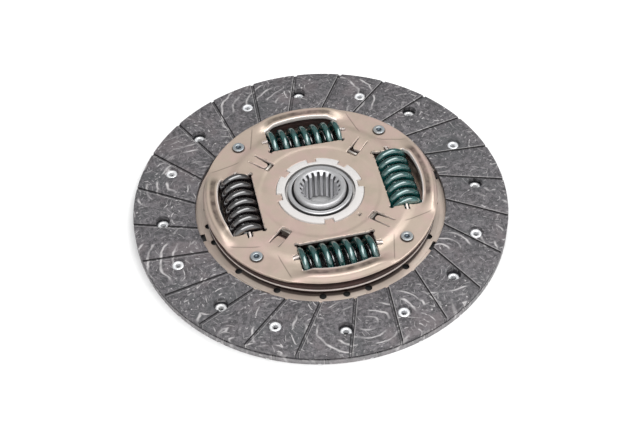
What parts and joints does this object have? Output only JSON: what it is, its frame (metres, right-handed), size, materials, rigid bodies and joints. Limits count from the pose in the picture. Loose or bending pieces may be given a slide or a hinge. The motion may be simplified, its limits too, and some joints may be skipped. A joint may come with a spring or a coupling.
{
  "type": "clutch disc",
  "caption": "Dry clutch disc: grooved friction facings on a cushion disc round a sprung damper with cover plates and a splined hub.",
  "frame": {"origin": "on the hub axis, in the plane of the lower friction face on which the disc rests", "axes": "+Z along the hub axis towards the retaining plate; +X through the middle of the first damper window"},
  "size_m": [0.215, 0.215, 0.0218],
  "materials": {
    "facing": "pressed friction material with short pale fibres, ground flat",
    "rivet": "bright rolled metal",
    "cushion": "satin spring steel with a warm tempered tint",
    "cover_plate": "satin steel sheet with a warm tan tint",
    "stop_pin": "grey-blue zinc",
    "hub_steel": "turned grey steel",
    "flange_steel": "brown hardened steel",
    "bush": "near-white moulded plastic",
    "washer": "dark friction compound",
    "thrust_steel": "satin steel sheet",
    "spring_teal": "glossy teal paint",
    "spring_black": "glossy black paint"
  },
  "bodies": {
    "disc": {"facing_upper": "facing", "facing_lower": "facing", "facing_rivets_upper": "rivet", "facing_rivets_lower": "rivet", "cushion_disc": "cushion", "disc_plate": "cover_plate", "retaining_plate": "cover_plate", "stop_pins": "stop_pin", "centering_bush": "bush", "lower_bush": "bush", "friction_washer_upper": "washer", "friction_washer_lower": "washer", "thrust_plate": "thrust_steel", "cone_spring": "thrust_steel", "damper_spring_right": "spring_teal", "damper_spring_rear": "spring_teal", "damper_spring_left": "spring_black", "damper_spring_front": "spring_teal", "inner_spring_rear": "spring_teal", "inner_spring_front": "spring_teal"},
    "hub": {"hub": "hub_steel", "hub_flange": "flange_steel", "centering_sleeve": "hub_steel"}
  },
  "joints": [
    {"name": "damper_twist", "type": "hinge", "parent": "disc", "child": "hub", "pos_m": [0, 0, 0.0109], "axis": [0, 0, 1], "range_deg": [-8, 8], "stiffness_Nm_per_rad": 700, "deforming": ["damper_spring_right", "damper_spring_rear", "damper_spring_left", "damper_spring_front", "inner_spring_rear", "inner_spring_front"]}
  ]
}
